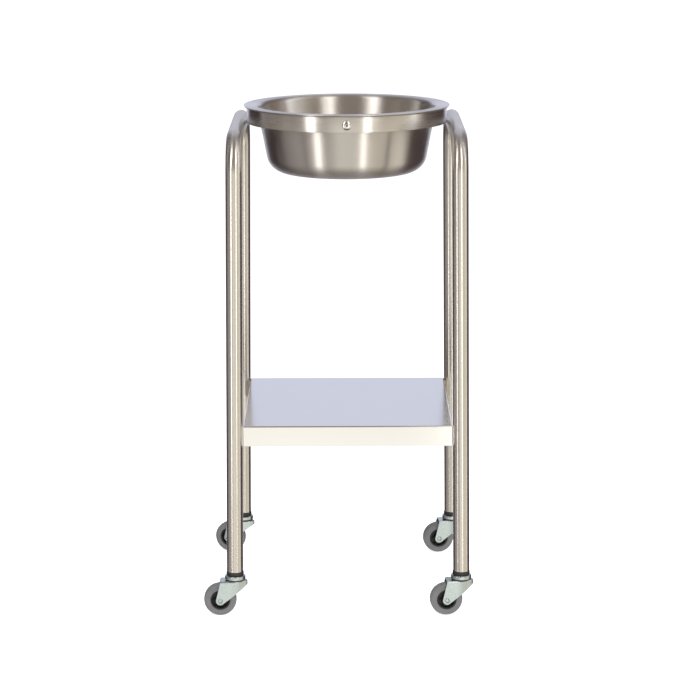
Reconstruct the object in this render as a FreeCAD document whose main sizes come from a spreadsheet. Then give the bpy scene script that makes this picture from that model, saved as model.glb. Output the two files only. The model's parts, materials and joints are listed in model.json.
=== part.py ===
import FreeCAD, Part
import Sketcher
import math
import os
import re

# A wheeled foot-bath stand.  A spun stainless basin lifts out of a flat ring, the ring is welded between two
# side frames of bent round tube, a folded shelf ties the four legs together, and each leg ends in a
# swivel caster on a plug-in stem.
#
# Frame: +Z up, Z = 0 on the floor, +X to the right, -Y to the front.  X = 0 is the middle of the footprint,
# trailing casters included, so the axis of the stand itself sits at X = stand_axis_x, Y = 0.  The side frames
# lean in towards the top, and legs_across is measured at the floor.

doc = FreeCAD.newDocument("foot_bath_stand")
sheet = doc.addObject("Spreadsheet::Sheet", "Sizes")

# Every driving dimension, in millimetres and degrees.
DRIVING = {
    # side frames
    "legs_across": 353.5,
    "frame_lean": 0.48,
    "legs_deep": 351.0,
    "tube_diameter": 25.4,
    "tube_wall": 1.5,
    "tube_foot": 70.0,
    "foot_gap": 0.12,
    "run_height": 743.0,
    "bend_radius": 50.0,
    # ring
    "ring_radius": 157.2,
    "ring_bottom": 751.6,
    "ring_height": 25.4,
    "ring_thickness": 3.0,
    "ring_edge": 0.5,
    # basin
    "basin_sheet": 1.2,
    "basin_seat_gap": 0.1,
    "basin_depth": 106.0,
    "flange_radius": 162.2,
    "flange_fall": 0.6,
    "flange_lip_drop": 2.6,
    "flange_lip_turn": 2.2,
    "basin_mouth_radius": 139.7,
    "basin_floor_radius": 120.0,
    "basin_shoulder": 6.5,
    "flange_edge": 0.5,
    "basin_heel": 30.0,
    # shelf
    "shelf_top": 301.0,
    "shelf_skirt": 31.75,
    "shelf_sheet": 1.2,
    "shelf_bend": 2.0,
    # rivet in the ring
    "rivet_setback": 1.5,
    "rivet_head_radius": 7.2,
    "rivet_head_height": 2.6,
    "rivet_head_edge": 0.5,
    "rivet_dome_radius": 9.0,
    "rivet_shank_radius": 2.4,
    "rivet_bulb_radius": 3.6,
    "rivet_bulb_length": 5.0,
    "rivet_bore_radius": 1.5,
    "rivet_bore_edge": 0.5,
    "mandrel_recess": 1.4,
    # welds
    "ring_weld_bead": 2.8,
    "shelf_weld_bead": 1.9,
    "shelf_weld_sink": 0.95,
    "ring_weld_length": 26.0,
    "shelf_weld_length": 26.0,
    "shelf_weld_inset": 5.715,
    # caster: wheel
    "wheel_radius": 25.4,
    "tyre_half_width": 9.0,
    "tyre_crown": 4.6,
    "hub_radius": 15.4,
    "hub_rim": 2.4,
    "hub_web_half": 3.6,
    "hub_draft": 0.8,
    "hub_setback": 0.3,
    "hub_boss_radius": 7.6,
    "hub_boss_half": 10.9,
    "caster_lead": 23.5,
    # caster: axle
    "axle_radius": 3.5,
    "axle_half_length": 12.9,
    "axle_dome_height": 0.8,
    "axle_dome_width": 1.2,
    "sleeve_radius": 4.75,
    "running_gap": 0.05,
    # caster: fork
    "fork_top": 56.4,
    "fork_sheet": 2.0,
    "fork_half_width": 13.6,
    "fork_shoulder": -8.0,
    "fork_tip_radius": 5.5,
    "fork_nose": 19.0,
    "fork_nose_foot": 50.0,
    "fork_back": 22.6,
    "fork_ear_radius": 6.7,
    "fork_bend": 2.4,
    "ear_cut_reach": 45.0,
    "axle_dimple_radius": 4.6,
    "axle_dimple_depth": 1.2,
    # caster: head and stem
    "stem_radius": 5.5,
    "stem_top": 99.0,
    "stem_lead_in": 1.5,
    "stem_head_radius": 7.2,
    "stem_head_height": 2.6,
    "stem_head_edge": 1.2,
    "washer_radius": 8.6,
    "washer_thickness": 1.2,
    "race_radius": 16.0,
    "race_bottom": 58.4,
    "race_top": 64.0,
    "race_wall": 1.3,
    "race_shoulder": 1.8,
    "race_hub_radius": 7.4,
    "race_hub_drop": 1.2,
    "race_depth": 3.1,
    "ball_radius": 2.38,
    "ball_circle": 10.6,
    "ball_count": 12,
    "seal_radius": 15.2,
    "seal_width": 1.0,
    "seal_height": 1.7,
    # leg socket and grip ring
    "socket_collar_radius": 13.3,
    "socket_top": 104.0,
    "socket_edge": 0.7,
    "plug_gap": 0.2,
    "grip_height": 92.0,
    "grip_wire": 0.7,
    "grip_clearance": 0.25,
    "grip_groove_radius": 4.5,
    "grip_ring_angle": 320.0,
    # how far each caster is turned from trailing straight to the left
    "turn_fl": 2.0,
    "turn_fr": 6.0,
    "turn_rl": -18.0,
    "turn_rr": 8.0,
}
# Dimensions that follow from the ones above.
DERIVED = {
    "half_across": "legs_across / 2",
    "half_deep": "legs_deep / 2",
    "tube_radius": "tube_diameter / 2",
    "tube_bore": "tube_radius - tube_wall",
    "run_across": "half_across - run_height * sin(frame_lean)",
    "caster_across": "half_across - (tube_foot + socket_top) / 2 * sin(frame_lean)",
    "ring_top": "ring_bottom + ring_height",
    "rivet_height": "ring_bottom + ring_height / 2 - rivet_setback",
    "seat": "ring_top + basin_seat_gap",
    "flange_height": "seat + basin_sheet",
    "rim_height": "flange_height + flange_fall",
    "floor_top": "rim_height - basin_depth + basin_sheet",
    "lip_foot": "flange_height - flange_lip_drop",
    "lip_radius": "flange_radius - flange_lip_turn",
    "lip_back": "flange_radius - basin_sheet * (1 + flange_lip_turn / flange_lip_drop)",
    "ring_weld_reach": "sqrt((run_across - ring_radius) ^ 2 + (ring_bottom - run_height) ^ 2)",
    "ring_weld_share": "(tube_radius + ring_weld_reach) / (2 * ring_weld_reach)",
    "shelf_half_across": "half_across - shelf_top * sin(frame_lean) - tube_radius - running_gap",
    "wheel_back": "caster_lead + wheel_radius",
    "stand_axis_x": "(wheel_back - fork_nose) / 2",
    "fork_inside": "fork_half_width - fork_sheet",
    "fork_reach": "fork_nose - fork_tip_radius - fork_shoulder",
    "fork_spread": "fork_half_width - fork_tip_radius",
    "fork_side_radius": "(fork_reach ^ 2 + fork_half_width ^ 2 - fork_tip_radius ^ 2) / (2 * fork_spread)",
    "fork_slope_x": "fork_reach / (fork_side_radius - fork_tip_radius)",
    "fork_slope_y": "(fork_side_radius - fork_half_width) / (fork_side_radius - fork_tip_radius)",
    "fork_under": "fork_top - fork_sheet",
    "washer_under": "fork_under - washer_thickness",
    "race_ceiling": "race_bottom + race_depth",
    "race_mouth": "race_radius - race_wall",
    "socket_plug_radius": "tube_bore - plug_gap",
    "socket_bore": "stem_radius + running_gap",
    "tyre_side_radius": "wheel_radius - tyre_crown",
    "hub_bore": "sleeve_radius + running_gap",
}

row = 0
for name, size in DRIVING.items():
    row += 1
    sheet.set(f"A{row}", name)
    sheet.set(f"B{row}", str(size))
    sheet.setAlias(f"B{row}", name)
for name, formula in DERIVED.items():
    row += 1
    sheet.set(f"A{row}", name)
    sheet.set(f"B{row}", "=" + formula)
    sheet.setAlias(f"B{row}", name)
doc.recompute()

NAMES = [*DRIVING, *DERIVED]
CORNERS = {"fl": ("-", "-"), "fr": ("+", "-"), "rl": ("-", "+"), "rr": ("+", "+")}


# ---------------------------------------------------------------- helpers
def cells(expression):
    """The expression with each name looked up in the sheet."""
    return re.sub(r"[a-z]\w*", lambda word: "Sizes." + word[0] if word[0] in NAMES else word[0], expression)


def number(expression):
    return float(sheet.evalExpression(cells(expression)))


def bind(thing, prop, expression):
    thing.setExpression(prop, cells(expression))


def new_body(name):
    body = doc.addObject("PartDesign::Body", name)
    body.Label = name
    return body


def origin_feature(body, role):
    return next(feature for feature in body.Origin.OriginFeatures if feature.Role == role)


def new_sketch(body, name, plane, offset=None):
    sketch = body.newObject("Sketcher::SketchObject", name)
    sketch.AttachmentSupport = [origin_feature(body, plane)]
    sketch.MapMode = "FlatFace"
    if offset:
        bind(sketch, "AttachmentOffset.Base.z", offset)
    return sketch


def pin(sketch, geometry, point, x, y):
    """Holds a point at x, y from the sketch's origin."""
    for kind, axis, expression in (("DistanceX", -2, x), ("DistanceY", -1, y)):
        size = number(expression)
        if abs(size) < 1e-9:
            sketch.addConstraint(Sketcher.Constraint("PointOnObject", geometry, point, axis))
        else:
            index = sketch.addConstraint(Sketcher.Constraint(kind, -1, 1, geometry, point, size))
            bind(sketch, f"Constraints[{index}]", expression)


def arc_between(start, end, radius):
    """The short arc from start to end; a positive radius bulges to the right of the way from start to end."""
    middle = (start + end) * 0.5
    along = end - start
    half = along.Length / 2
    across = FreeCAD.Vector(along.y, -along.x, 0).normalize()
    rise = abs(radius) - math.sqrt(max(radius * radius - half * half, 0.0))
    return Part.Arc(start, middle + across * math.copysign(rise, radius), end)


def outline(sketch, corners):
    """A closed outline.  Each corner is (x, y), or (x, y, radius) where an arc leads to it from the last."""
    points = [FreeCAD.Vector(number(corner[0]), number(corner[1]), 0) for corner in corners]
    first = sketch.GeometryCount
    ends = []
    for index, corner in enumerate(corners):
        start, end = points[index - 1], points[index]
        arc = len(corner) == 3
        shape = arc_between(start, end, number(corner[2])) if arc else Part.LineSegment(start, end)
        added = sketch.addGeometry(shape)
        forward = (sketch.Geometry[added].StartPoint - start).Length < 1e-6
        ends.append((1, 2) if forward else (2, 1))
        if arc:
            radius = corner[2].lstrip("-")
            held = sketch.addConstraint(Sketcher.Constraint("Radius", added, number(radius)))
            bind(sketch, f"Constraints[{held}]", radius)
    for index, corner in enumerate(corners):
        following = (index + 1) % len(corners)
        here, there = ends[index][1], ends[following][0]
        join = Sketcher.Constraint("Coincident", first + index, here, first + following, there)
        sketch.addConstraint(join)
        pin(sketch, first + index, here, corner[0], corner[1])


def circle(sketch, x, y, radius):
    centre = FreeCAD.Vector(number(x), number(y), 0)
    added = sketch.addGeometry(Part.Circle(centre, FreeCAD.Vector(0, 0, 1), number(radius)))
    index = sketch.addConstraint(Sketcher.Constraint("Radius", added, number(radius)))
    bind(sketch, f"Constraints[{index}]", radius)
    pin(sketch, added, 3, x, y)


def rectangle(sketch, half_x, half_y):
    low_x, low_y = f"-1 * ({half_x})", f"-1 * ({half_y})"
    outline(sketch, [(low_x, low_y), (half_x, low_y), (half_x, half_y), (low_x, half_y)])


def revolve(body, corners, plane="XZ_Plane", angle=360):
    """Turns an outline about the sketch's vertical axis: Z on the XZ plane, Y on the XY plane."""
    sketch = new_sketch(body, body.Name + "_profile", plane)
    outline(sketch, corners)
    turned = body.newObject("PartDesign::Revolution", body.Name + "_turned")
    turned.Profile = sketch
    turned.ReferenceAxis = (sketch, ["V_Axis"])
    turned.Angle = angle
    return turned


def pad(body, sketch, length):
    padded = body.newObject("PartDesign::Pad", sketch.Name + "_pad")
    padded.Profile = sketch
    bind(padded, "Length", length)
    return padded


def pocket(body, sketch, length=None, reverse=False):
    """Cuts to a depth, or through everything both ways where no length is given."""
    cut = body.newObject("PartDesign::Pocket", sketch.Name + "_cut")
    cut.Profile = sketch
    if length:
        bind(cut, "Length", length)
        cut.Reversed = reverse
    else:
        cut.Type = "ThroughAll"
        cut.Midplane = True
    return cut


def fillet(body, base, radius, wanted):
    """Rounds the edges for which wanted(edge) is true."""
    doc.recompute()
    names = [f"Edge{i}" for i, edge in enumerate(base.Shape.Edges, 1) if wanted(edge)]
    if not names:
        raise ValueError(f"{body.Label}: no edge to round")
    rounded = body.newObject("PartDesign::Fillet", f"{body.Name}_fillet")
    rounded.Base = (base, names)
    bind(rounded, "Radius", radius)
    return rounded


def rim(radius, height):
    """True for a full circle of this radius about Z at this height."""
    radius, height = number(radius), number(height)

    def wanted(edge):
        curve = edge.Curve
        is_circle = isinstance(curve, Part.Circle)
        return is_circle and abs(curve.Radius - radius) < 0.01 and abs(curve.Center.z - height) < 0.01

    return wanted


def place(thing, x="0", y="0", z="0", turn=None, about=(0, 0, 1)):
    """Puts a sub-part at x, y, z, turned about Z or another axis."""
    if turn:
        thing.Placement = FreeCAD.Placement(FreeCAD.Vector(), FreeCAD.Rotation(FreeCAD.Vector(*about), 10))
        bind(thing, "Placement.Rotation.Angle", turn)
    for axis, expression in (("x", x), ("y", y), ("z", z)):
        bind(thing, f"Placement.Base.{axis}", expression)


def weld_beads(name, thickness, beads):
    """A group of weld beads, each an ellipsoid: (x, y, z, axis it runs along, length)."""
    solids = []
    for index, (x, y, z, along, length) in enumerate(beads, 1):
        bead = doc.addObject("Part::Ellipsoid", f"{name}_bead{index}")
        for radius, axis in (("Radius1", "z"), ("Radius2", "x"), ("Radius3", "y")):
            bind(bead, radius, f"{length} / 2" if axis == along else thickness)
        place(bead, x, y, z)
        solids.append(bead)
    group = doc.addObject("Part::Compound", name)
    group.Label = name
    group.Links = solids
    return group


# ---------------------------------------------------------------- the stand
def basin():
    """Spun sheet: flange with its lip turned in, rolled mouth, tapering wall, rounded heel, flat floor."""
    body = new_body("basin")
    floor_under = "rim_height - basin_depth"
    throat = "seat + flange_fall"
    shell = revolve(body, [
        ("basin_mouth_radius", "rim_height"),
        ("flange_radius", "flange_height"),
        ("lip_radius", "lip_foot"),
        ("lip_radius - basin_sheet", "lip_foot"),
        ("lip_back", "seat"),
        ("basin_mouth_radius + basin_sheet", throat),
        ("basin_floor_radius + basin_sheet", floor_under),
        ("0", floor_under),
        ("0", "floor_top"),
        ("basin_floor_radius", "floor_top"),
    ])
    heel = fillet(body, shell, "basin_heel", rim("basin_floor_radius + basin_sheet", floor_under))
    heel = fillet(body, heel, "basin_heel - basin_sheet", rim("basin_floor_radius", "floor_top"))
    mouth = fillet(body, heel, "basin_shoulder + basin_sheet", rim("basin_mouth_radius", "rim_height"))
    mouth = fillet(body, mouth, "basin_shoulder", rim("basin_mouth_radius + basin_sheet", throat))
    fillet(body, mouth, "flange_edge", rim("flange_radius", "flange_height"))
    place(body, "stand_axis_x")
    return body


def ring_band():
    """Flat bar rolled into a hoop, drilled at the front for the rivet."""
    body = new_body("ring_band")
    inner = "ring_radius - ring_thickness"
    hoop = revolve(body, [
        (inner, "ring_bottom"),
        ("ring_radius", "ring_bottom"),
        ("ring_radius", "ring_top"),
        (inner, "ring_top"),
    ])
    edges = [rim(r, z) for r in (inner, "ring_radius") for z in ("ring_bottom", "ring_top")]
    fillet(body, hoop, "ring_edge", lambda edge: any(test(edge) for test in edges))
    drill = new_sketch(body, "rivet_hole", "XZ_Plane")
    circle(drill, "0", "rivet_height", "rivet_shank_radius + running_gap")
    pocket(body, drill, "ring_radius + 10", reverse=True)
    place(body, "stand_axis_x")
    return body


def lie_forward(body):
    """Turns a piece made along +Z to stick out of the front of the ring."""
    body.Placement = FreeCAD.Placement(FreeCAD.Vector(), FreeCAD.Rotation(FreeCAD.Vector(1, 0, 0), 90))
    place(body, "stand_axis_x", "-1 * ring_radius", "rivet_height")


def ring_rivet():
    """Blind rivet: domed head outside the ring, shank through it, formed bulb inside."""
    body = new_body("ring_rivet")
    bulb_end = "-1 * (ring_thickness + rivet_bulb_length)"
    inside = "-1 * (ring_thickness + running_gap)"
    revolve(body, [
        ("rivet_bore_radius", "rivet_head_height"),
        ("rivet_bore_radius", bulb_end),
        ("rivet_bulb_radius", bulb_end),
        ("rivet_bulb_radius", inside),
        ("rivet_shank_radius", inside),
        ("rivet_shank_radius", "0"),
        ("rivet_head_radius", "0"),
        ("rivet_head_radius", "rivet_head_edge"),
        ("rivet_bore_radius + rivet_bore_edge", "rivet_head_height", "rivet_dome_radius"),
    ])
    lie_forward(body)
    return body


def rivet_mandrel():
    """What stays of the pulled mandrel, snapped off below the face of the head."""
    body = new_body("rivet_mandrel")
    top = "rivet_head_height - mandrel_recess"
    tail = "-1 * (ring_thickness + rivet_bulb_length)"
    shank = "rivet_bore_radius - running_gap"
    revolve(body, [("0", top), ("0", tail), (shank, tail), (shank, top)])
    lie_forward(body)
    return body


def side_frame(name, side):
    """One length of round tube bent into an upside-down U: front leg, run under the ring, rear leg."""
    body = new_body(name)
    path = new_sketch(body, name + "_path", "YZ_Plane")
    bend, low, high = "bend_radius", "tube_foot + foot_gap", "run_height"
    ends = {
        "front_foot": ("-1 * half_deep", low),
        "front_top": ("-1 * half_deep", f"{high} - {bend}"),
        "run_front": (f"{bend} - half_deep", high),
        "run_rear": (f"half_deep - {bend}", high),
        "rear_top": ("half_deep", f"{high} - {bend}"),
        "rear_foot": ("half_deep", low),
    }
    stops = [FreeCAD.Vector(number(y), number(z), 0) for y, z in ends.values()]
    bend_size = number(bend)
    path.addGeometry(Part.LineSegment(stops[0], stops[1]))
    path.addGeometry(arc_between(stops[1], stops[2], -bend_size))
    path.addGeometry(Part.LineSegment(stops[2], stops[3]))
    path.addGeometry(arc_between(stops[3], stops[4], -bend_size))
    path.addGeometry(Part.LineSegment(stops[4], stops[5]))
    for line, point, key in ((0, 1, "front_foot"), (0, 2, "front_top"), (2, 1, "run_front"),
                             (2, 2, "run_rear"), (4, 1, "rear_top"), (4, 2, "rear_foot")):
        pin(path, line, point, *ends[key])
    for line, line_end, arc, arc_end in ((0, 2, 1, 2), (2, 1, 1, 1), (2, 2, 3, 2), (4, 1, 3, 1)):
        path.addConstraint(Sketcher.Constraint("Coincident", line, line_end, arc, arc_end))
    for arc in (1, 3):
        index = path.addConstraint(Sketcher.Constraint("Radius", arc, bend_size))
        bind(path, f"Constraints[{index}]", bend)
    section = new_sketch(body, name + "_section", "XY_Plane", low)
    circle(section, "0", "-1 * half_deep", "tube_radius")
    circle(section, "0", "-1 * half_deep", "tube_bore")
    doc.recompute()
    tube = body.newObject("PartDesign::AdditivePipe", name + "_tube")
    tube.Profile = section
    tube.Spine = (path, [f"Edge{i}" for i in range(1, 6)])
    tube.Transition = "Right corner"
    lean = "frame_lean" if side == "-" else "-1 * frame_lean"
    place(body, f"stand_axis_x {side} half_across", turn=lean, about=(0, 1, 0))
    return body


def shelf():
    """Folded pan: flat top with a skirt turned down on all four sides, between the legs."""
    body = new_body("shelf")
    half_x, half_y = "shelf_half_across", "half_deep"
    blank = new_sketch(body, "shelf_outline", "XY_Plane", "shelf_top - shelf_skirt")
    rectangle(blank, half_x, half_y)
    block = pad(body, blank, "shelf_skirt")
    top = number("shelf_top")

    def folded(edge):
        ends = [vertex.Point.z for vertex in edge.Vertexes]
        upright = abs(ends[0] - ends[1]) > 1
        return upright or min(ends) > top - 0.01

    fillet(body, block, "shelf_bend", folded)
    hollow = new_sketch(body, "shelf_hollow", "XY_Plane", "shelf_top - shelf_skirt")
    rectangle(hollow, f"{half_x} - shelf_sheet", f"{half_y} - shelf_sheet")
    pocket(body, hollow, "shelf_skirt - shelf_sheet", reverse=True)
    place(body, "stand_axis_x")
    return body


def welds():
    """Beads where the ring meets the two runs, and where the shelf meets the four legs."""
    ring_beads = []
    for side in ("-", "+"):
        x = f"stand_axis_x {side} (run_across - (run_across - ring_radius) * ring_weld_share)"
        z = "run_height + (ring_bottom - run_height) * ring_weld_share"
        ring_beads.append((x, "0", z, "y", "ring_weld_length"))
    shelf_beads = []
    for side, end in CORNERS.values():
        x = f"stand_axis_x {side} (shelf_half_across + shelf_weld_sink)"
        y = f"0 {end} (half_deep - shelf_weld_inset)"
        shelf_beads.append((x, y, "shelf_top - shelf_skirt / 2", "z", "shelf_weld_length"))
    return [weld_beads("ring_welds", "ring_weld_bead", ring_beads),
            weld_beads("shelf_welds", "shelf_weld_bead", shelf_beads)]


# ---------------------------------------------------------------- casters
# Each caster is made about its kingpin, with the floor at Z = 0 and the wheel trailing along -X.
def leg_socket(body):
    """Plastic insert: a collar under the tube end and a plug inside it, bored for the stem."""
    groove = "socket_bore + grip_wire + grip_clearance"
    revolve(body, [
        ("socket_bore", "race_top"),
        ("socket_collar_radius - socket_edge", "race_top"),
        ("socket_collar_radius", "race_top + socket_edge"),
        ("socket_collar_radius", "tube_foot - socket_edge"),
        ("socket_collar_radius - socket_edge", "tube_foot"),
        ("socket_plug_radius", "tube_foot"),
        ("socket_plug_radius", "socket_top"),
        ("socket_bore", "socket_top"),
        ("socket_bore", "grip_height + grip_wire * 2"),
        (groove, "grip_height + grip_wire * 2"),
        (groove, "grip_height - grip_wire * 2"),
        ("socket_bore", "grip_height - grip_wire * 2"),
    ])


def caster_stem(body):
    """Kingpin and stem in one: riveted head under the fork, shank up into the socket, groove for the ring."""
    head_under = "washer_under - stem_head_height"
    neck = "grip_wire + grip_clearance"
    revolve(body, [
        ("0", head_under),
        ("stem_head_radius - stem_head_edge", head_under),
        ("stem_head_radius", f"{head_under} + stem_head_edge"),
        ("stem_head_radius", "washer_under - running_gap"),
        ("stem_radius", "washer_under - running_gap"),
        ("stem_radius", f"grip_height - ({neck})"),
        ("grip_groove_radius", f"grip_height - ({neck})"),
        ("grip_groove_radius", f"grip_height + {neck}"),
        ("stem_radius", f"grip_height + {neck}"),
        ("stem_radius", "stem_top - stem_lead_in"),
        ("stem_radius - stem_lead_in", "stem_top"),
        ("0", "stem_top"),
    ])


def grip_ring(body):
    """Split spring ring that holds the stem in its socket."""
    wire = new_sketch(body, body.Name + "_wire", "XZ_Plane")
    circle(wire, "grip_groove_radius + grip_clearance + grip_wire", "grip_height", "grip_wire")
    ring = body.newObject("PartDesign::Revolution", body.Name + "_turned")
    ring.Profile = wire
    ring.ReferenceAxis = (wire, ["V_Axis"])
    bind(ring, "Angle", "grip_ring_angle")


def upper_race(body):
    """Pressed cup that caps the ball race, fixed under the socket."""
    hub_foot = "race_bottom - race_hub_drop"
    revolve(body, [
        ("socket_bore", hub_foot),
        ("race_hub_radius", hub_foot),
        ("race_hub_radius", "race_ceiling"),
        ("race_mouth", "race_ceiling"),
        ("race_mouth", "race_bottom"),
        ("race_radius", "race_bottom"),
        ("race_radius", "race_top - race_shoulder"),
        ("race_radius - race_shoulder", "race_top", "race_shoulder"),
        ("socket_bore", "race_top"),
    ])


def swivel_balls(body):
    """The ring of bearing balls between the cup and the fork."""
    ball = body.newObject("PartDesign::AdditiveSphere", body.Name + "_ball")
    ball.AttachmentSupport = [origin_feature(body, "XY_Plane")]
    ball.MapMode = "FlatFace"
    bind(ball, "Radius", "ball_radius")
    bind(ball, "AttachmentOffset.Base.x", "ball_circle")
    bind(ball, "AttachmentOffset.Base.z", "(fork_top + race_ceiling) / 2")
    doc.recompute()
    balls = body.newObject("PartDesign::PolarPattern", body.Name + "_ring")
    balls.Originals = [ball]
    balls.Axis = (origin_feature(body, "Z_Axis"), [""])
    balls.Angle = 360
    bind(balls, "Occurrences", "ball_count")
    body.Tip = balls


def dust_seal(body):
    """Thin ring that closes the gap below the cup."""
    low = "fork_top + running_gap"
    high = f"{low} + seal_height"
    inner = "seal_radius - seal_width"
    revolve(body, [(inner, low), ("seal_radius", low), ("seal_radius", high), (inner, high)])


def thrust_washer(body):
    """Washer between the fork and the riveted head."""
    bore, low = "socket_bore", "washer_under"
    high = "fork_under"
    revolve(body, [(bore, low), ("washer_radius", low), ("washer_radius", high), (bore, high)])


def fork_plan(sketch, inset, back):
    """Seen from above: straight sides from the back that curve in to a narrower round nose."""
    half = f"fork_half_width - {inset}"
    side = f"fork_side_radius - {inset}"
    tip = f"fork_tip_radius - {inset}"
    touch_x = f"fork_nose - fork_tip_radius + ({tip}) * fork_slope_x"
    touch_y = f"({tip}) * fork_slope_y"
    outline(sketch, [
        (back, f"-1 * ({half})"),
        ("fork_shoulder", f"-1 * ({half})"),
        (touch_x, f"-1 * {touch_y}", side),
        (touch_x, touch_y, tip),
        ("fork_shoulder", half, side),
        (back, half),
    ])


def ear_profile(sketch):
    """Seen from the side: everything outside the fork's ears, which taper to a round end about the axle."""
    ear = number("fork_ear_radius")
    axle = FreeCAD.Vector(-number("caster_lead"), number("wheel_radius"), 0)
    past_top, past_nose, reach = "fork_top + 1", "fork_nose + 1", "ear_cut_reach"
    back = FreeCAD.Vector(-number("fork_back"), number(past_top), 0)
    nose = FreeCAD.Vector(number(past_nose), number("fork_nose_foot"), 0)

    def touch(point, side):
        """Where a line from the point touches the ear's round end."""
        away = point - axle
        lean = math.acos(ear / away.Length) * side
        turn = math.atan2(away.y, away.x) + lean
        return axle + FreeCAD.Vector(math.cos(turn), math.sin(turn), 0) * ear

    left, right = touch(back, 1), touch(nose, -1)
    below = f"-1 * {reach}"
    beyond = f"-1 * (caster_lead + {reach})"
    corners = [(reach, "fork_nose_foot"), (reach, below), (beyond, below), (beyond, past_top)]
    stops = [back, left, right, nose, *(FreeCAD.Vector(number(x), number(y), 0) for x, y in corners)]
    bottom = axle - FreeCAD.Vector(0, ear, 0)
    sketch.addGeometry(Part.LineSegment(back, left))
    sketch.addGeometry(Part.Arc(left, bottom, right))
    for start, end in zip(stops[2:], stops[3:] + stops[:1]):
        sketch.addGeometry(Part.LineSegment(start, end))
    for index in range(2, 7):
        sketch.addConstraint(Sketcher.Constraint("Coincident", index, 2, index + 1, 1))
    sketch.addConstraint(Sketcher.Constraint("Coincident", 7, 2, 0, 1))
    sketch.addConstraint(Sketcher.Constraint("Tangent", 0, 2, 1, 1))
    sketch.addConstraint(Sketcher.Constraint("Tangent", 2, 1, 1, 2))
    pin(sketch, 1, 3, "-1 * caster_lead", "wheel_radius")
    index = sketch.addConstraint(Sketcher.Constraint("Radius", 1, ear))
    bind(sketch, f"Constraints[{index}]", "fork_ear_radius")
    pin(sketch, 0, 1, "-1 * fork_back", past_top)
    pin(sketch, 2, 2, past_nose, "fork_nose_foot")
    for index, (x, y) in enumerate(corners, 3):
        pin(sketch, index, 2, x, y)


def fork(body):
    """Pressed fork: top plate, round nose, two tapered ears with dimpled axle holes."""
    plan = new_sketch(body, body.Name + "_plan", "XY_Plane")
    fork_plan(plan, "0", "-2 * caster_lead")
    block = pad(body, plan, "fork_top")
    top, bulge = number("fork_top"), -number("caster_lead")

    def folded(edge):
        return edge.BoundBox.ZMin > top - 0.01 and edge.BoundBox.XMax > bulge

    fillet(body, block, "fork_bend", folded)
    doc.recompute()
    inside = new_sketch(body, body.Name + "_inside", "XY_Plane")
    fork_plan(inside, "fork_sheet", "-3 * caster_lead")
    pocket(body, inside, "fork_under", reverse=True)
    sides = new_sketch(body, body.Name + "_side", "XZ_Plane")
    ear_profile(sides)
    pocket(body, sides)
    kingpin = new_sketch(body, body.Name + "_kingpin", "XY_Plane", "fork_under - 1")
    circle(kingpin, "0", "0", "socket_bore")
    pocket(body, kingpin, "fork_sheet + 2", reverse=True)
    axle_hole = new_sketch(body, body.Name + "_axle_hole", "XZ_Plane")
    circle(axle_hole, "-1 * caster_lead", "wheel_radius", "axle_radius + running_gap / 2")
    pocket(body, axle_hole)
    floor = "fork_half_width - axle_dimple_depth"
    for side, offset, outward in (("front", floor, True), ("back", f"-1 * ({floor})", False)):
        dimple = new_sketch(body, f"{body.Name}_{side}_dimple", "XZ_Plane", offset)
        circle(dimple, "-1 * caster_lead", "wheel_radius", "axle_dimple_radius")
        pocket(body, dimple, "axle_dimple_depth + 1", reverse=outward)


def axle(body):
    """Riveted axle, its ends sunk in the fork's dimples."""
    reach, dome = "axle_half_length", "axle_half_length - axle_dome_height"
    crown = "axle_radius - axle_dome_width"
    revolve(body, [
        ("0", f"-1 * {reach}"),
        (crown, f"-1 * {reach}"),
        ("axle_radius", f"-1 * ({dome})"),
        ("axle_radius", dome),
        (crown, reach),
        ("0", reach),
    ], "XY_Plane")


def axle_sleeve(body):
    """Steel spacer clamped between the ears, on which the hub turns."""
    bore, radius, high = "axle_radius + running_gap", "sleeve_radius", "fork_inside - running_gap"
    low = f"-1 * ({high})"
    revolve(body, [(bore, low), (radius, low), (radius, high), (bore, high)], "XY_Plane")


def wheel_hub(body):
    """Moulded hub: bearing boss, thin web, rim under the tyre."""
    rim_inside = "hub_radius - hub_rim"
    half = "tyre_half_width - hub_setback"
    side = [
        ("hub_bore", "hub_boss_half"),
        ("hub_boss_radius", "hub_boss_half"),
        ("hub_boss_radius + hub_draft", "hub_web_half"),
        (f"{rim_inside} - hub_draft", "hub_web_half"),
        (rim_inside, half),
        ("hub_radius", half),
    ]
    other = [(radius, f"-1 * ({width})") for radius, width in reversed(side)]
    revolve(body, side + other, "XY_Plane")


def wheel_tyre(body):
    """Solid grey tyre: flat sides, rounded shoulders, narrow flat tread."""
    flat = "tyre_half_width - tyre_crown"
    revolve(body, [
        ("hub_radius", "-1 * tyre_half_width"),
        ("tyre_side_radius", "-1 * tyre_half_width"),
        ("wheel_radius", f"-1 * ({flat})", "tyre_crown"),
        ("wheel_radius", flat),
        ("tyre_side_radius", "tyre_half_width", "tyre_crown"),
        ("hub_radius", "tyre_half_width"),
    ], "XY_Plane")


FIXED_PIECES = (leg_socket, caster_stem, grip_ring, upper_race)
SWIVEL_PIECES = (swivel_balls, dust_seal, fork, thrust_washer)
AXLE_PIECES = (axle, axle_sleeve, wheel_hub, wheel_tyre)


def caster(corner):
    """The pieces of one caster, in place under its leg."""
    side, end = CORNERS[corner]
    leg_x = f"stand_axis_x {side} caster_across"
    leg_y = f"0 {end} half_deep"
    turn = f"turn_{corner}"
    pieces = []
    for make in FIXED_PIECES + SWIVEL_PIECES + AXLE_PIECES:
        body = new_body(f"{make.__name__}_{corner}")
        make(body)
        if make in FIXED_PIECES:
            place(body, leg_x, leg_y)
        elif make in SWIVEL_PIECES:
            place(body, leg_x, leg_y, turn=turn)
        else:
            x = f"{leg_x} - caster_lead * cos({turn})"
            y = f"{leg_y} - caster_lead * sin({turn})"
            place(body, x, y, "wheel_radius", turn)
        pieces.append(body)
    return pieces


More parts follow.
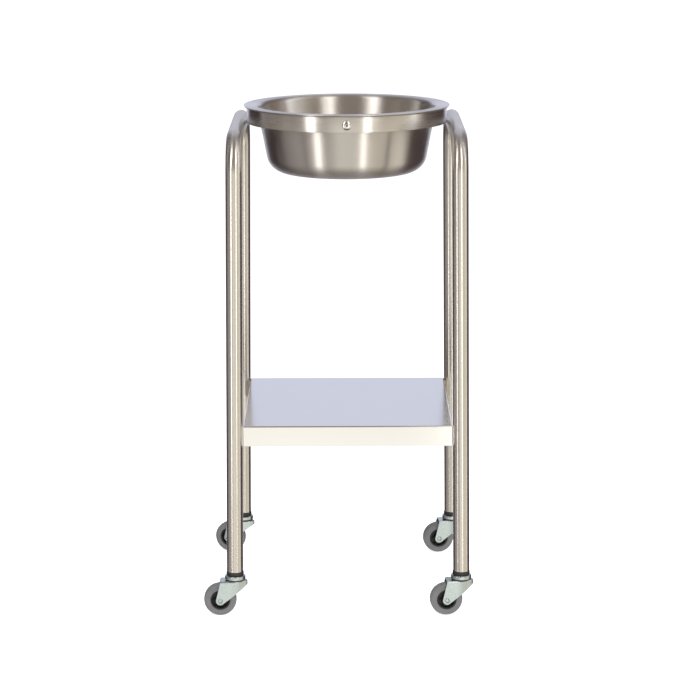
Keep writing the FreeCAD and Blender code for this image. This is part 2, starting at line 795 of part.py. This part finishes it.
# ---------------------------------------------------------------- build, check, write
parts = [basin(), ring_band(), ring_rivet(), rivet_mandrel(), shelf()]
parts += [side_frame("side_frame_left", "-"), side_frame("side_frame_right", "+")]
parts += welds()
for corner in CORNERS:
    parts += caster(corner)
doc.recompute()

failed = [thing.Name for thing in doc.Objects if {"Invalid", "Error"} & set(thing.State)]
failed += [part.Label for part in parts if part.Shape.isNull() or not part.Shape.isValid()]
if failed:
    raise RuntimeError(f"these did not build: {failed}")

os.makedirs("parts", exist_ok=True)
for part in parts:
    part.Shape.exportStep(f"parts/{part.Label}.step")
print(len(parts), "sub-parts written")
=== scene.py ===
"""Looks of the wheeled foot bath stand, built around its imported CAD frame.  Metres, Z up, -Y is the front."""
import json
import math

import bpy
from mathutils import Matrix, Vector


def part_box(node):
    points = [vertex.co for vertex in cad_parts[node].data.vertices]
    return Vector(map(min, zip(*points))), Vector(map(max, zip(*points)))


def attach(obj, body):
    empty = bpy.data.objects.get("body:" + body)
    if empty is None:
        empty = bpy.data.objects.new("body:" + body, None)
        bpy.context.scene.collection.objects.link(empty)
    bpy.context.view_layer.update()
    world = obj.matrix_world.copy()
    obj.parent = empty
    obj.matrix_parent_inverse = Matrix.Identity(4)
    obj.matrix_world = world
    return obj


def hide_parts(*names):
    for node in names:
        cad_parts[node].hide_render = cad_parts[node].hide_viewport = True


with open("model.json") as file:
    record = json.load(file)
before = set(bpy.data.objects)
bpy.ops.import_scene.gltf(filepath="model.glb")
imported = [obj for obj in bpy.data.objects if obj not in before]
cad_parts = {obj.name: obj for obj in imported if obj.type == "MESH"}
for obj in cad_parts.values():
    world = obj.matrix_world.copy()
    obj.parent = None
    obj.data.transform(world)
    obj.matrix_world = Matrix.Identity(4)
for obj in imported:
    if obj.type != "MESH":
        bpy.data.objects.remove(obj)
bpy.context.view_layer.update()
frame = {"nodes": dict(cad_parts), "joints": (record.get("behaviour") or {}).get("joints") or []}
nodes = frame["nodes"]
MM = 0.001


# ---------------------------------------------------------------- places taken from the frame
def middle(node):
    low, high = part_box(node)
    return (low + high) / 2


basin_low, basin_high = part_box("basin")
ring_low, ring_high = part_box("ring_band")
shelf_low, shelf_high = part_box("shelf")
tube_low, tube_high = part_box("side_frame_left")
AXIS = Vector((middle("ring_band").x, middle("ring_band").y, 0))
RING_RADIUS = (ring_high.x - ring_low.x) / 2
FLANGE_RADIUS = (basin_high.x - basin_low.x) / 2
TUBE_RADIUS = 12.7 * MM
HALF_DEEP = tube_high.y - TUBE_RADIUS
RUN_HEIGHT = tube_high.z - TUBE_RADIUS
CORNERS = ("fl", "fr", "rl", "rr")


# ---------------------------------------------------------------- shapes
def rounded(corners, step=12.0, closed=True):
    """Points along a line through corners (x, y, radius), each corner with a radius turned into an arc."""
    points = []
    for index, (x, y, radius) in enumerate(corners):
        here = Vector((x, y))
        inside = closed or 0 < index < len(corners) - 1
        if not radius or not inside:
            points.append(here)
            continue
        before = Vector(corners[index - 1][:2]) - here
        after = Vector(corners[(index + 1) % len(corners)][:2]) - here
        before.normalize()
        after.normalize()
        half = before.angle(after) / 2
        centre = here + (before + after).normalized() * (radius / math.sin(half))
        start = here + before * (radius / math.tan(half)) - centre
        end = here + after * (radius / math.tan(half)) - centre
        turn = start.angle_signed(end)
        count = max(2, math.ceil(abs(math.degrees(turn)) / step))
        for k in range(count + 1):
            points.append(centre + Matrix.Rotation(-turn * k / count, 2) @ start)
    return points


def skin(name, rings, closed=False, across=1.0):
    """A surface through rings of points; closed joins the last to the first, a ring of one point is a pole.
    Its UV map runs from 0 to across round each ring, and in metres from ring to ring."""
    vertices, rows = [], []
    for ring in rings:
        rows.append(range(len(vertices), len(vertices) + len(ring)))
        vertices += [tuple(point) for point in ring]
    distance = [0.0]
    for before, after in zip(rings, rings[1:] + rings[:1]):
        distance.append(distance[-1] + (Vector(after[0]) - Vector(before[0])).length)
    faces, corners = [], []
    for index in range(len(rows) if closed else len(rows) - 1):
        low, high = rows[index], rows[(index + 1) % len(rows)]
        count = max(len(low), len(high))
        for k in range(count):
            following = (k + 1) % count
            loop = [
                (low, k, index),
                (low, following, index),
                (high, following, index + 1),
                (high, k, index + 1),
            ]
            face, places = [], []
            for row, column, level in loop:
                vertex = row[column if len(row) > 1 else 0]
                if vertex in face:
                    continue
                face.append(vertex)
                around = k + 1 if column == following else k
                places.append((around / count * across, distance[level]))
            faces.append(face)
            corners.append(places)
    for row, level in ((rows[0], 0), (rows[-1], len(rows) - 1)):
        if not closed and len(row) > 1:
            face = list(row) if level else list(reversed(row))
            faces.append(face)
            corners.append([(vertices[v][0], vertices[v][1]) for v in face])
    mesh = bpy.data.meshes.new(name)
    mesh.from_pydata(vertices, [], faces)
    layer = mesh.uv_layers.new(name="grain")
    for polygon, places in zip(mesh.polygons, corners):
        for loop, place in zip(polygon.loop_indices, places):
            layer.data[loop].uv = place
    mesh.polygons.foreach_set("use_smooth", [True] * len(mesh.polygons))
    mesh.set_sharp_from_angle(angle=math.radians(38))
    mesh.validate()
    piece = bpy.data.objects.new(name, mesh)
    bpy.context.scene.collection.objects.link(piece)
    return piece


def circle(centre, radius, side, other, count):
    """A ring of points about centre in the plane of the two directions, starting at the second one."""
    ring = []
    for k in range(count):
        angle = 2 * math.pi * k / count
        ring.append(centre + side * (radius * math.sin(angle)) + other * (radius * math.cos(angle)))
    return ring


def lathe(name, outline, centre, axis=Vector((0, 0, 1)), start=Vector((0, 1, 0)), count=192, closed=False):
    """Turns an outline of (radius, height) points about an axis through centre."""
    side = start.cross(axis)
    rings = []
    for radius, height in outline:
        level = centre + axis * height
        rings.append([level] if radius < 1e-6 else circle(level, radius, side, start, count))
    return skin(name, rings, closed)


def finish_piece(piece, material, slot, body, *replaced):
    piece.data.materials.clear()
    piece.data.materials.append(material)
    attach(piece, body)
    if replaced:
        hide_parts(*replaced)
    return piece


# ---------------------------------------------------------------- materials
def new_material(name):
    material = bpy.data.materials.new(name)
    material.use_nodes = True
    tree = material.node_tree
    shader = next(node for node in tree.nodes if node.type == "BSDF_PRINCIPLED")
    return material, tree, shader


def add(tree, kind, **values):
    node = tree.nodes.new(kind)
    for name, value in values.items():
        setattr(node, name, value)
    return node


def noise(tree, vector, scale, detail=4.0, roughness=0.6):
    """A noise over a stretched copy of the vector."""
    stretch = add(tree, "ShaderNodeMapping")
    stretch.inputs["Scale"].default_value = scale
    tree.links.new(vector, stretch.inputs["Vector"])
    grain = add(tree, "ShaderNodeTexNoise")
    grain.inputs["Scale"].default_value = 1.0
    grain.inputs["Detail"].default_value = detail
    grain.inputs["Roughness"].default_value = roughness
    tree.links.new(stretch.outputs["Vector"], grain.inputs["Vector"])
    return grain.outputs["Fac"]


def spread(tree, value, low, high, start=0.3, end=0.7):
    """The value stretched from start-end to low-high."""
    remap = add(tree, "ShaderNodeMapRange")
    remap.inputs["From Min"].default_value = start
    remap.inputs["From Max"].default_value = end
    remap.inputs["To Min"].default_value = low
    remap.inputs["To Max"].default_value = high
    tree.links.new(value, remap.inputs["Value"])
    return remap.outputs["Result"]


def blend_colours(tree, factor, first, second):
    mix = add(tree, "ShaderNodeMix", data_type="RGBA")
    colours = [socket for socket in mix.inputs if socket.type == "RGBA"]
    for socket, colour in zip(colours, (first, second)):
        if isinstance(colour, tuple):
            socket.default_value = (*colour, 1.0)
        else:
            tree.links.new(colour, socket)
    tree.links.new(factor, mix.inputs[0])
    return next(socket for socket in mix.outputs if socket.type == "RGBA")


def bump(tree, shader, height, depth, strength=1.0):
    node = add(tree, "ShaderNodeBump")
    node.inputs["Strength"].default_value = strength
    node.inputs["Distance"].default_value = depth
    tree.links.new(height, node.inputs["Height"])
    tree.links.new(node.outputs["Normal"], shader.inputs["Normal"])
    return node


def steel(name, colour, roughness, grain, anisotropy=0.0, groove=0.0, uv=True, tint=0.035):
    """Ground stainless steel.  grain stretches the noise along the grinding marks, and anisotropy smears
    reflections across them."""
    material, tree, shader = new_material(name)
    coordinates = add(tree, "ShaderNodeTexCoord")
    vector = coordinates.outputs["UV" if uv else "Object"]
    marks = noise(tree, vector, grain)
    broad = noise(tree, vector, tuple(value * 0.11 for value in grain), detail=2.0)
    darker = tuple(value * (1 - tint) for value in colour)
    shade = blend_colours(tree, spread(tree, marks, 0, 1), darker, colour)
    tree.links.new(shade, shader.inputs["Base Color"])
    rough = add(tree, "ShaderNodeMath", operation="ADD")
    tree.links.new(spread(tree, marks, roughness * 0.95, roughness * 1.05), rough.inputs[0])
    tree.links.new(spread(tree, broad, -roughness * 0.03, roughness * 0.03), rough.inputs[1])
    tree.links.new(rough.outputs["Value"], shader.inputs["Roughness"])
    shader.inputs["Metallic"].default_value = 1.0
    if anisotropy:
        shader.inputs["Anisotropic"].default_value = anisotropy
        shader.inputs["Anisotropic Rotation"].default_value = 0.25
        tangent = add(tree, "ShaderNodeTangent", direction_type="UV_MAP", uv_map="grain")
        tree.links.new(tangent.outputs["Tangent"], shader.inputs["Tangent"])
    if groove:
        bump(tree, shader, marks, groove)
    return material


def moulded(name, colour, roughness, depth, scale=900.0, mottle=0.12):
    """Plastic or rubber with a fine moulded texture."""
    material, tree, shader = new_material(name)
    vector = add(tree, "ShaderNodeTexCoord").outputs["Object"]
    fine = noise(tree, vector, (scale, scale, scale))
    broad = noise(tree, vector, (60.0, 60.0, 60.0), detail=3.0)
    lighter = tuple(value * (1 + mottle) for value in colour)
    shade = blend_colours(tree, spread(tree, broad, 0, 1), colour, lighter)
    tree.links.new(shade, shader.inputs["Base Color"])
    tree.links.new(spread(tree, broad, roughness * 0.9, roughness * 1.12), shader.inputs["Roughness"])
    bump(tree, shader, fine, depth)
    return material


def zinc(name, colour, roughness):
    """Bright zinc plating over pressed steel: a fine crystal mottle and a faint cool tint."""
    material, tree, shader = new_material(name)
    vector = add(tree, "ShaderNodeTexCoord").outputs["Object"]
    mottle = noise(tree, vector, (420.0, 420.0, 420.0), detail=3.0)
    patches = noise(tree, vector, (70.0, 70.0, 70.0), detail=2.0)
    cool = (colour[0] * 0.90, colour[1] * 0.97, colour[2] * 0.98)
    shade = blend_colours(tree, spread(tree, patches, 0, 1), colour, cool)
    tree.links.new(shade, shader.inputs["Base Color"])
    tree.links.new(spread(tree, mottle, roughness * 0.8, roughness * 1.3), shader.inputs["Roughness"])
    shader.inputs["Metallic"].default_value = 1.0
    bump(tree, shader, mottle, 0.02 * MM)
    return material


def weld_metal(name):
    """Weld bead: rippled steel with a straw heat tint."""
    material, tree, shader = new_material(name)
    vector = add(tree, "ShaderNodeTexCoord").outputs["Object"]
    patches = noise(tree, vector, (150.0, 150.0, 150.0), detail=3.0)
    straw, grey = (0.50, 0.43, 0.35), (0.56, 0.55, 0.53)
    shade = blend_colours(tree, spread(tree, patches, 0, 1), straw, grey)
    tree.links.new(shade, shader.inputs["Base Color"])
    tree.links.new(spread(tree, patches, 0.26, 0.42), shader.inputs["Roughness"])
    shader.inputs["Metallic"].default_value = 1.0
    return material


TUBE_STEEL = steel("tube_steel", (0.70, 0.67, 0.625), 0.25, (3.0, 1800.0, 1.0), anisotropy=0.95)
BASIN_STEEL = steel(
    "basin_steel", (0.70, 0.67, 0.63), 0.33, (4.0, 1500.0, 1.0), anisotropy=0.95, groove=0.002 * MM)
RING_STEEL = steel("ring_steel", (0.67, 0.64, 0.60), 0.28, (4.0, 1300.0, 1.0), anisotropy=0.95)
SHEET_STEEL = steel("sheet_steel", (0.80, 0.79, 0.78), 0.20, (20.0, 900.0, 900.0), uv=False)
RIVET_STEEL = steel("rivet_steel", (0.72, 0.71, 0.70), 0.18, (900.0, 900.0, 900.0), uv=False)
BEARING_STEEL = steel("bearing_steel", (0.62, 0.62, 0.63), 0.15, (700.0, 700.0, 700.0), uv=False)
# Near-black metal for the rivet's mandrel stub: painted shade standing in for the shade inside the rivet's
# hollow centre
HOLLOW_SHADE_STEEL = steel("hollow_shade_steel", (0.045, 0.045, 0.05), 0.42, (700.0, 700.0, 700.0), uv=False)
ZINC = zinc("zinc_plate", (0.54, 0.60, 0.61), 0.27)
BLACK_PLASTIC = moulded("black_plastic", (0.018, 0.018, 0.02), 0.42, 0.01 * MM)
HUB_PLASTIC = moulded("hub_plastic", (0.012, 0.012, 0.014), 0.48, 0.015 * MM)
GREY_RUBBER = moulded("grey_rubber", (0.175, 0.184, 0.190), 0.55, 0.02 * MM)
WELD_METAL = weld_metal("weld_metal")


# ---------------------------------------------------------------- the stand
def basin():
    """Spun shell: flange with its lip turned in, rolled mouth, tapering wall, rounded heel, flat floor."""
    sheet, depth = 1.2 * MM, 106.0 * MM
    under_floor = basin_low.z
    throat = under_floor + depth
    mouth, floor = 139.7 * MM, 120.0 * MM
    shoulder, heel, broken = 6.5 * MM, 30.0 * MM, 0.2 * MM
    corner, flange = FLANGE_RADIUS + 0.554 * MM, throat - 0.6 * MM
    lip_turn, lip_drop = 2.2 * MM, 2.6 * MM
    lip, lip_foot = corner - lip_turn, flange - lip_drop
    outline = rounded([
        (0, under_floor, 0),
        (floor + sheet, under_floor, heel),
        (mouth + sheet, throat - sheet, shoulder),
        (corner - sheet * (1 + lip_turn / lip_drop), flange - sheet, broken),
        (lip - sheet, lip_foot, broken),
        (lip, lip_foot, broken),
        (corner, flange, 0.5 * MM),
        (mouth, throat, shoulder + sheet),
        (floor, under_floor + sheet, heel - sheet),
        (0, under_floor + sheet, 0),
    ], step=6, closed=False)
    shell = lathe("basin_shell", outline, AXIS, count=256)
    return finish_piece(shell, BASIN_STEEL, "basin_steel", "basin", "basin")


def ring_hoop():
    thickness, edge = 3.0 * MM, 0.5 * MM
    inner = RING_RADIUS - thickness
    outline = rounded([
        (inner, ring_low.z, edge),
        (RING_RADIUS, ring_low.z, edge),
        (RING_RADIUS, ring_high.z, edge),
        (inner, ring_high.z, edge),
    ], step=20)
    hoop = lathe("ring_hoop", outline, AXIS, count=256, closed=True)
    return finish_piece(hoop, RING_STEEL, "ring_steel", "stand", "ring_band")


def side_frame(side):
    """Round tube along an upside-down U that leans in towards the top, its cut ends lightly broken."""
    node = f"side_frame_{side}"
    bend, wall, broken = 50.0 * MM, 1.5 * MM, 0.3 * MM
    foot = tube_low.z
    path = rounded([
        (-HALF_DEEP, foot, 0),
        (-HALF_DEEP, RUN_HEIGHT, bend),
        (HALF_DEEP, RUN_HEIGHT, bend),
        (HALF_DEEP, foot, 0),
    ], step=3, closed=False)
    stations = []
    for start, end in zip(path, path[1:]):
        pieces = max(1, round((end - start).length / (25 * MM)))
        stations += [start.lerp(end, k / pieces) for k in range(pieces)]
    stations.append(path[-1])
    low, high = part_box(node)
    foot_x, run_x = low.x + TUBE_RADIUS, high.x - TUBE_RADIUS
    if side == "right":
        foot_x, run_x = run_x, foot_x
    slope = (run_x - foot_x) / (RUN_HEIGHT - foot)
    count = 64

    def ring(index, radius, shift=0.0):
        before = stations[max(index - 1, 0)]
        after = stations[min(index + 1, len(stations) - 1)]
        along = (after - before).normalized()
        outward = Vector((0, -along.y, along.x))
        here = stations[index] + along * shift
        points = circle(Vector((foot_x, here.x, here.y)), radius, Vector((1, 0, 0)), outward, count)
        return [point + Vector((slope * (point.z - foot), 0, 0)) for point in points]

    last = len(stations) - 1
    bore = TUBE_RADIUS - wall
    rings = [ring(0, bore + broken), ring(0, TUBE_RADIUS - broken), ring(0, TUBE_RADIUS, broken)]
    rings += [ring(index, TUBE_RADIUS) for index in range(1, last)]
    rings += [ring(last, TUBE_RADIUS, -broken), ring(last, TUBE_RADIUS - broken), ring(last, bore + broken)]
    rings += [ring(index, bore) for index in range(last - 1, 0, -1)]
    tube = skin(f"tube_{side}", rings, closed=True)
    return finish_piece(tube, TUBE_STEEL, "tube_steel", "stand", node)


def rounded_rectangle(half_x, half_y, radius, height):
    centre = AXIS + Vector((0, 0, height))
    corners = [(sx * half_x, sy * half_y, radius) for sx, sy in ((-1, 1), (-1, -1), (1, -1), (1, 1))]
    return [centre + Vector((*point, 0)) for point in rounded(corners, step=18)]


def shelf():
    """Folded pan: the top turns down into four skirts, with rolled folds and broken lower edges."""
    sheet, fold, edge, corner = 1.2 * MM, 2.0 * MM, 0.25 * MM, 0.8 * MM
    half_x, half_y = (shelf_high.x - shelf_low.x) / 2, (shelf_high.y - shelf_low.y) / 2
    top, bottom = shelf_high.z, shelf_low.z
    arc = [math.radians(angle) for angle in range(90, -1, -10)]
    outer = [(fold - fold * math.cos(a), top - fold + fold * math.sin(a)) for a in arc]
    inner_fold = fold - sheet
    inner = [(fold - inner_fold * math.cos(a), top - fold + inner_fold * math.sin(a)) for a in reversed(arc)]
    section = [(fold + 0.8 * MM, top), *outer, (0, bottom + edge), (edge, bottom)]
    section += [(sheet - edge, bottom), (sheet, bottom + edge), *inner, (fold + 0.8 * MM, top - sheet)]
    rings = []
    for inset, height in section:
        radius = max(corner - inset, 0.15 * MM)
        rings.append(rounded_rectangle(half_x - inset, half_y - inset, radius, height))
    pan = skin("shelf_pan", rings)
    return finish_piece(pan, SHEET_STEEL, "sheet_steel", "stand", "shelf")


def bead(name, low, high):
    """A weld bead along the longest side of its box, laid in overlapping ripples."""
    centre, size = (low + high) / 2, high - low
    axis = max(range(3), key=lambda k: size[k])
    along = Vector([float(k == axis) for k in range(3)])
    side = Vector((1, 0, 0))
    other = along.cross(side)
    length, radius = size[axis], size.x / 2
    ripples, steps = 9, 72
    rings = []
    for k in range(steps + 1):
        share = k / steps
        swell = math.sin(math.pi * share) ** 0.35
        ripple = 0.86 + 0.14 * abs(math.sin(math.pi * ripples * share))
        here = centre + along * (length * (share - 0.5))
        size_here = radius * swell * ripple
        rings.append([here] if size_here < 1e-6 else circle(here, size_here, side, other, 24))
    return skin(name, rings)


def welds():
    """One bead for each CAD bead: two at the ring and four at the shelf."""
    beads = {}
    ring_bead_width, shelf_bead_width = 5.6 * MM, 3.8 * MM
    for node, thickness in (("ring_welds", ring_bead_width), ("shelf_welds", shelf_bead_width)):
        low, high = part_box(node)
        reach = Vector((thickness, 0, 0))
        for side, x in (("left", low.x), ("right", high.x - thickness)):
            if node == "ring_welds":
                start = Vector((x, low.y, low.z))
                beads[f"ring_weld_{side}"] = (node, start, Vector((x, high.y, high.z)) + reach)
                continue
            for end, y in (("front", low.y), ("rear", high.y - thickness)):
                start = Vector((x, y, low.z))
                stop = Vector((x, y + thickness, high.z)) + reach
                beads[f"shelf_weld_{side}_{end}"] = (node, start, stop)
    for name, (node, start, stop) in beads.items():
        finish_piece(bead(name, start, stop), WELD_METAL, "weld_steel", "stand", node)


# ---------------------------------------------------------------- casters
def wheel_joint(corner):
    joint = next(entry for entry in frame["joints"] if entry["name"] == f"wheel_{corner}_roll")
    return Vector(joint["pos_m"]), Vector(joint["axis"]).normalized()


def tyre(corner):
    """Solid tyre: a stepped sidewall, rounded shoulders and a fine mould line round the tread."""
    centre, axis = wheel_joint(corner)
    radius, half = centre.z, 9.0 * MM
    bore, step_radius, step = 15.4 * MM, 20.4 * MM, 0.35 * MM
    line = 0.12 * MM
    side = [
        (bore, half - 0.5 * MM, 0),
        (bore + 0.5 * MM, half, 0.3 * MM),
        (step_radius, half, 0.25 * MM),
        (step_radius + 0.15 * MM, half - step, 0.2 * MM),
        (radius - line, half - step, 4.4 * MM),
        (radius - line, 0.35 * MM, 0.1 * MM),
        (radius, 0.12 * MM, 0),
    ]
    other = [(r, -y, rounding) for r, y, rounding in reversed(side)]
    start = Vector((0, 0, 1))
    body = lathe(f"tyre_{corner}", rounded(side + other, step=8), centre, axis, start, 128, closed=True)
    return finish_piece(body, GREY_RUBBER, "grey_rubber", f"wheel_{corner}", f"wheel_tyre_{corner}")


def hub(corner):
    """Moulded hub: bearing boss, web, rim, and ribs between them on both faces."""
    centre, axis = wheel_joint(corner)
    bore, boss, rim, outside = 4.8 * MM, 7.6 * MM, 12.9 * MM, 15.35 * MM
    boss_half, web_half, rim_half = 10.9 * MM, 3.6 * MM, 8.7 * MM
    side = [
        (bore, boss_half, 0.3 * MM),
        (boss, boss_half, 0.6 * MM),
        (boss + 0.7 * MM, web_half, 0.8 * MM),
        (rim - 0.6 * MM, web_half, 0.8 * MM),
        (rim, rim_half, 0.4 * MM),
        (outside, rim_half, 0.3 * MM),
    ]
    other = [(r, -y, rounding) for r, y, rounding in reversed(side)]
    start = Vector((0, 0, 1))
    body = lathe(f"hub_{corner}", rounded(side + other, step=18), centre, axis, start, 96, closed=True)
    finish_piece(body, HUB_PLASTIC, "hub_plastic", f"wheel_{corner}", f"wheel_hub_{corner}")
    ribs, thickness, rib_half = 6, 0.7 * MM, 7.6 * MM
    for index in range(ribs):
        for face, sign in (("front", -1), ("back", 1)):
            turn = Matrix.Rotation(2 * math.pi * (index + 0.5) / ribs, 3, axis)
            out, across = turn @ start, turn @ start.cross(axis)
            section = rounded([(-thickness, 0, 0), (thickness, 0, 0), (thickness * 0.8, rib_half, 0.5 * MM),
                               (-thickness * 0.8, rib_half, 0.5 * MM)], step=30)
            rings = []
            for distance in (boss - 0.2 * MM, rim + 0.2 * MM):
                base = centre + out * distance
                rings.append([base + across * x + axis * (sign * y) for x, y in section])
            rib = skin(f"rib_{corner}_{face}_{index + 1}", rings)
            finish_piece(rib, HUB_PLASTIC, "hub_plastic", f"wheel_{corner}")


CASTER_LOOKS = {
    "leg_socket": BLACK_PLASTIC,
    "caster_stem": ZINC,
    "grip_ring": BEARING_STEEL,
    "upper_race": ZINC,
    "swivel_balls": BEARING_STEEL,
    "dust_seal": BLACK_PLASTIC,
    "fork": ZINC,
    "thrust_washer": ZINC,
    "axle": ZINC,
    "axle_sleeve": BEARING_STEEL,
}


def paint(node, material):
    """A new finish on a CAD node that keeps its shape."""
    mesh = nodes[node].data
    mesh.materials.clear()
    mesh.materials.append(material)


basin()
ring_hoop()
side_frame("left")
side_frame("right")
shelf()
welds()
paint("ring_rivet", RIVET_STEEL)
# The mandrel takes the near-black painted shade of the rivet's hollow centre
paint("rivet_mandrel", HOLLOW_SHADE_STEEL)
for corner in CORNERS:
    tyre(corner)
    hub(corner)
    for kind, look in CASTER_LOOKS.items():
        paint(f"{kind}_{corner}", look)


# ---------------------------------------------------------------- studio
def ramp(tree, value, stops):
    node = add(tree, "ShaderNodeValToRGB")
    node.color_ramp.interpolation = "EASE"
    elements = node.color_ramp.elements
    while len(elements) < len(stops):
        elements.new(1.0)
    for element, (position, colour) in zip(elements, stops):
        element.position = position
        element.color = (*colour, 1.0)
    tree.links.new(value, node.inputs["Fac"])
    return node.outputs["Color"]


def room():
    """What the metal reflects: a pale blue backdrop behind, dark sides, a bright front below the horizon,
    a brown room above it and a dim grey ceiling and floor.  Seen directly it is plain white."""
    world = bpy.data.worlds.new("room")
    bpy.context.scene.world = world
    world.use_nodes = True
    tree = world.node_tree
    background = next(node for node in tree.nodes if node.type == "BACKGROUND")
    direction = add(tree, "ShaderNodeTexCoord").outputs["Generated"]
    split = add(tree, "ShaderNodeSeparateXYZ")
    tree.links.new(direction, split.inputs["Vector"])
    front = add(tree, "ShaderNodeMath", operation="MULTIPLY")
    front.inputs[1].default_value = -1.0
    tree.links.new(split.outputs["Y"], front.inputs[0])
    azimuth = add(tree, "ShaderNodeMath", operation="ARCTAN2")
    tree.links.new(split.outputs["X"], azimuth.inputs[0])
    tree.links.new(front.outputs["Value"], azimuth.inputs[1])
    around = spread(tree, azimuth.outputs["Value"], 0, 1, -math.pi, math.pi)

    def stops(table):
        return [((angle + 180) / 360, colour) for angle, colour in table]

    backdrop, dark, gloom = (0.72, 0.75, 0.89), (0.07, 0.05, 0.05), (0.08, 0.06, 0.055)
    low = ramp(tree, around, stops([
        (-180, backdrop), (-158, backdrop), (-151, dark), (-120, (0.045, 0.035, 0.035)),
        (-107, (0.12, 0.10, 0.10)), (-96, (0.36, 0.33, 0.33)), (-70, (0.50, 0.46, 0.45)),
        (-30, (0.66, 0.63, 0.58)), (-9, (1.28, 1.24, 1.14)), (16, (1.16, 1.12, 1.02)),
        (50, (0.94, 0.87, 0.75)), (72, (0.92, 0.84, 0.71)), (83, (1.06, 1.00, 0.90)),
        (92, (0.75, 0.68, 0.58)), (101, dark), (151, dark), (158, backdrop), (180, backdrop),
    ]))
    high = ramp(tree, around, stops([
        (-180, backdrop), (-153, backdrop), (-145, gloom), (-119, gloom), (-111, (0.92, 0.91, 0.94)),
        (-103, (0.22, 0.19, 0.17)), (-55, (0.20, 0.17, 0.15)), (-25, (0.30, 0.25, 0.21)),
        (25, (0.30, 0.25, 0.21)), (45, (0.42, 0.35, 0.29)), (66, (0.62, 0.57, 0.52)),
        (75, (0.85, 0.83, 0.82)), (84, (2.10, 2.13, 2.20)), (93, (0.50, 0.44, 0.42)),
        (110, (0.26, 0.21, 0.19)), (145, gloom), (153, backdrop), (180, backdrop),
    ]))
    horizon = spread(tree, split.outputs["Z"], 0, 1, -0.08, 0.10)
    overhead = spread(tree, split.outputs["Z"], 0, 1, 0.80, 0.97)
    underfoot = spread(tree, split.outputs["Z"], 1, 0, -0.85, -0.50)
    walls = blend_colours(tree, horizon, low, high)
    covered = blend_colours(tree, overhead, walls, (0.30, 0.28, 0.28))
    surround = blend_colours(tree, underfoot, covered, (0.16, 0.14, 0.13))
    seen = add(tree, "ShaderNodeLightPath").outputs["Is Camera Ray"]
    tree.links.new(blend_colours(tree, seen, surround, (1.0, 1.0, 1.0)), background.inputs["Color"])


def floor():
    radius = 30.0
    rim = circle(Vector((0, 0, -0.2 * MM)), radius, Vector((1, 0, 0)), Vector((0, 1, 0)), 96)
    mesh = bpy.data.meshes.new("floor")
    mesh.from_pydata([tuple(point) for point in rim], [], [list(reversed(range(len(rim))))])
    plane = bpy.data.objects.new("floor", mesh)
    bpy.context.scene.collection.objects.link(plane)
    material, tree, shader = new_material("floor_paper")
    shader.inputs["Base Color"].default_value = (0.90, 0.90, 0.90, 1.0)
    shader.inputs["Roughness"].default_value = 0.9
    shader.inputs["Emission Color"].default_value = (1.0, 1.0, 1.0, 1.0)
    shader.inputs["Emission Strength"].default_value = 0.78
    mesh.materials.append(material)
    plane.visible_glossy = False
    plane.visible_shadow = False


def lamp(name, place, target, size, power, colour, reflected):
    """An area lamp that either lights the paint and plastic or shows as a reflection in the metal."""
    light = bpy.data.lights.new(name, "AREA")
    light.shape = "RECTANGLE"
    light.size, light.size_y = size
    light.energy = power
    light.color = colour
    fitting = bpy.data.objects.new(name, light)
    fitting.location = place
    aim = Vector(target) - Vector(place)
    fitting.rotation_euler = aim.to_track_quat("-Z", "Y").to_euler()
    fitting.visible_camera = False
    fitting.visible_diffuse = not reflected
    fitting.visible_glossy = reflected
    bpy.context.scene.collection.objects.link(fitting)


def camera():
    data = bpy.data.cameras.new("camera")
    data.lens = 131.45
    data.sensor_width = 36.0
    eye = bpy.data.objects.new("camera", data)
    down, left, tilt = 11.713, -0.137, -0.159
    turn = Matrix.Rotation(math.radians(left), 4, "Z")
    turn @= Matrix.Rotation(math.radians(90 - down), 4, "X")
    turn @= Matrix.Rotation(math.radians(tilt), 4, "Z")
    eye.matrix_world = Matrix.Translation((0.0096, -4.0046, 1.2146)) @ turn
    bpy.context.scene.collection.objects.link(eye)
    bpy.context.scene.camera = eye


room()
floor()
lamp("overhead", (0.3, -0.6, 3.2), (0, 0, 0), (3.2, 3.2), 95.0, (1.0, 0.99, 0.98), reflected=False)
lamp("strip_left", (-0.74, -0.92, 0.60), (0, 0, 0.60), (0.19, 1.45), 2.1, (1.0, 0.99, 0.97), reflected=True)
lamp("strip_right", (0.49, -1.16, 0.60), (0, 0, 0.60), (0.15, 1.45), 1.5, (1.0, 0.99, 0.96), reflected=True)
lamp("window_left", (-0.82, -0.98, 1.65), (0, 0, 0.80), (0.52, 1.10), 4.3, (1.0, 0.99, 0.98), reflected=True)
lamp("window_right", (0.60, -1.12, 1.65), (0, 0, 0.80), (0.46, 1.10), 3.8, (1.0, 0.99, 0.97), reflected=True)
camera()
bpy.context.scene.view_settings.view_transform = "Standard"
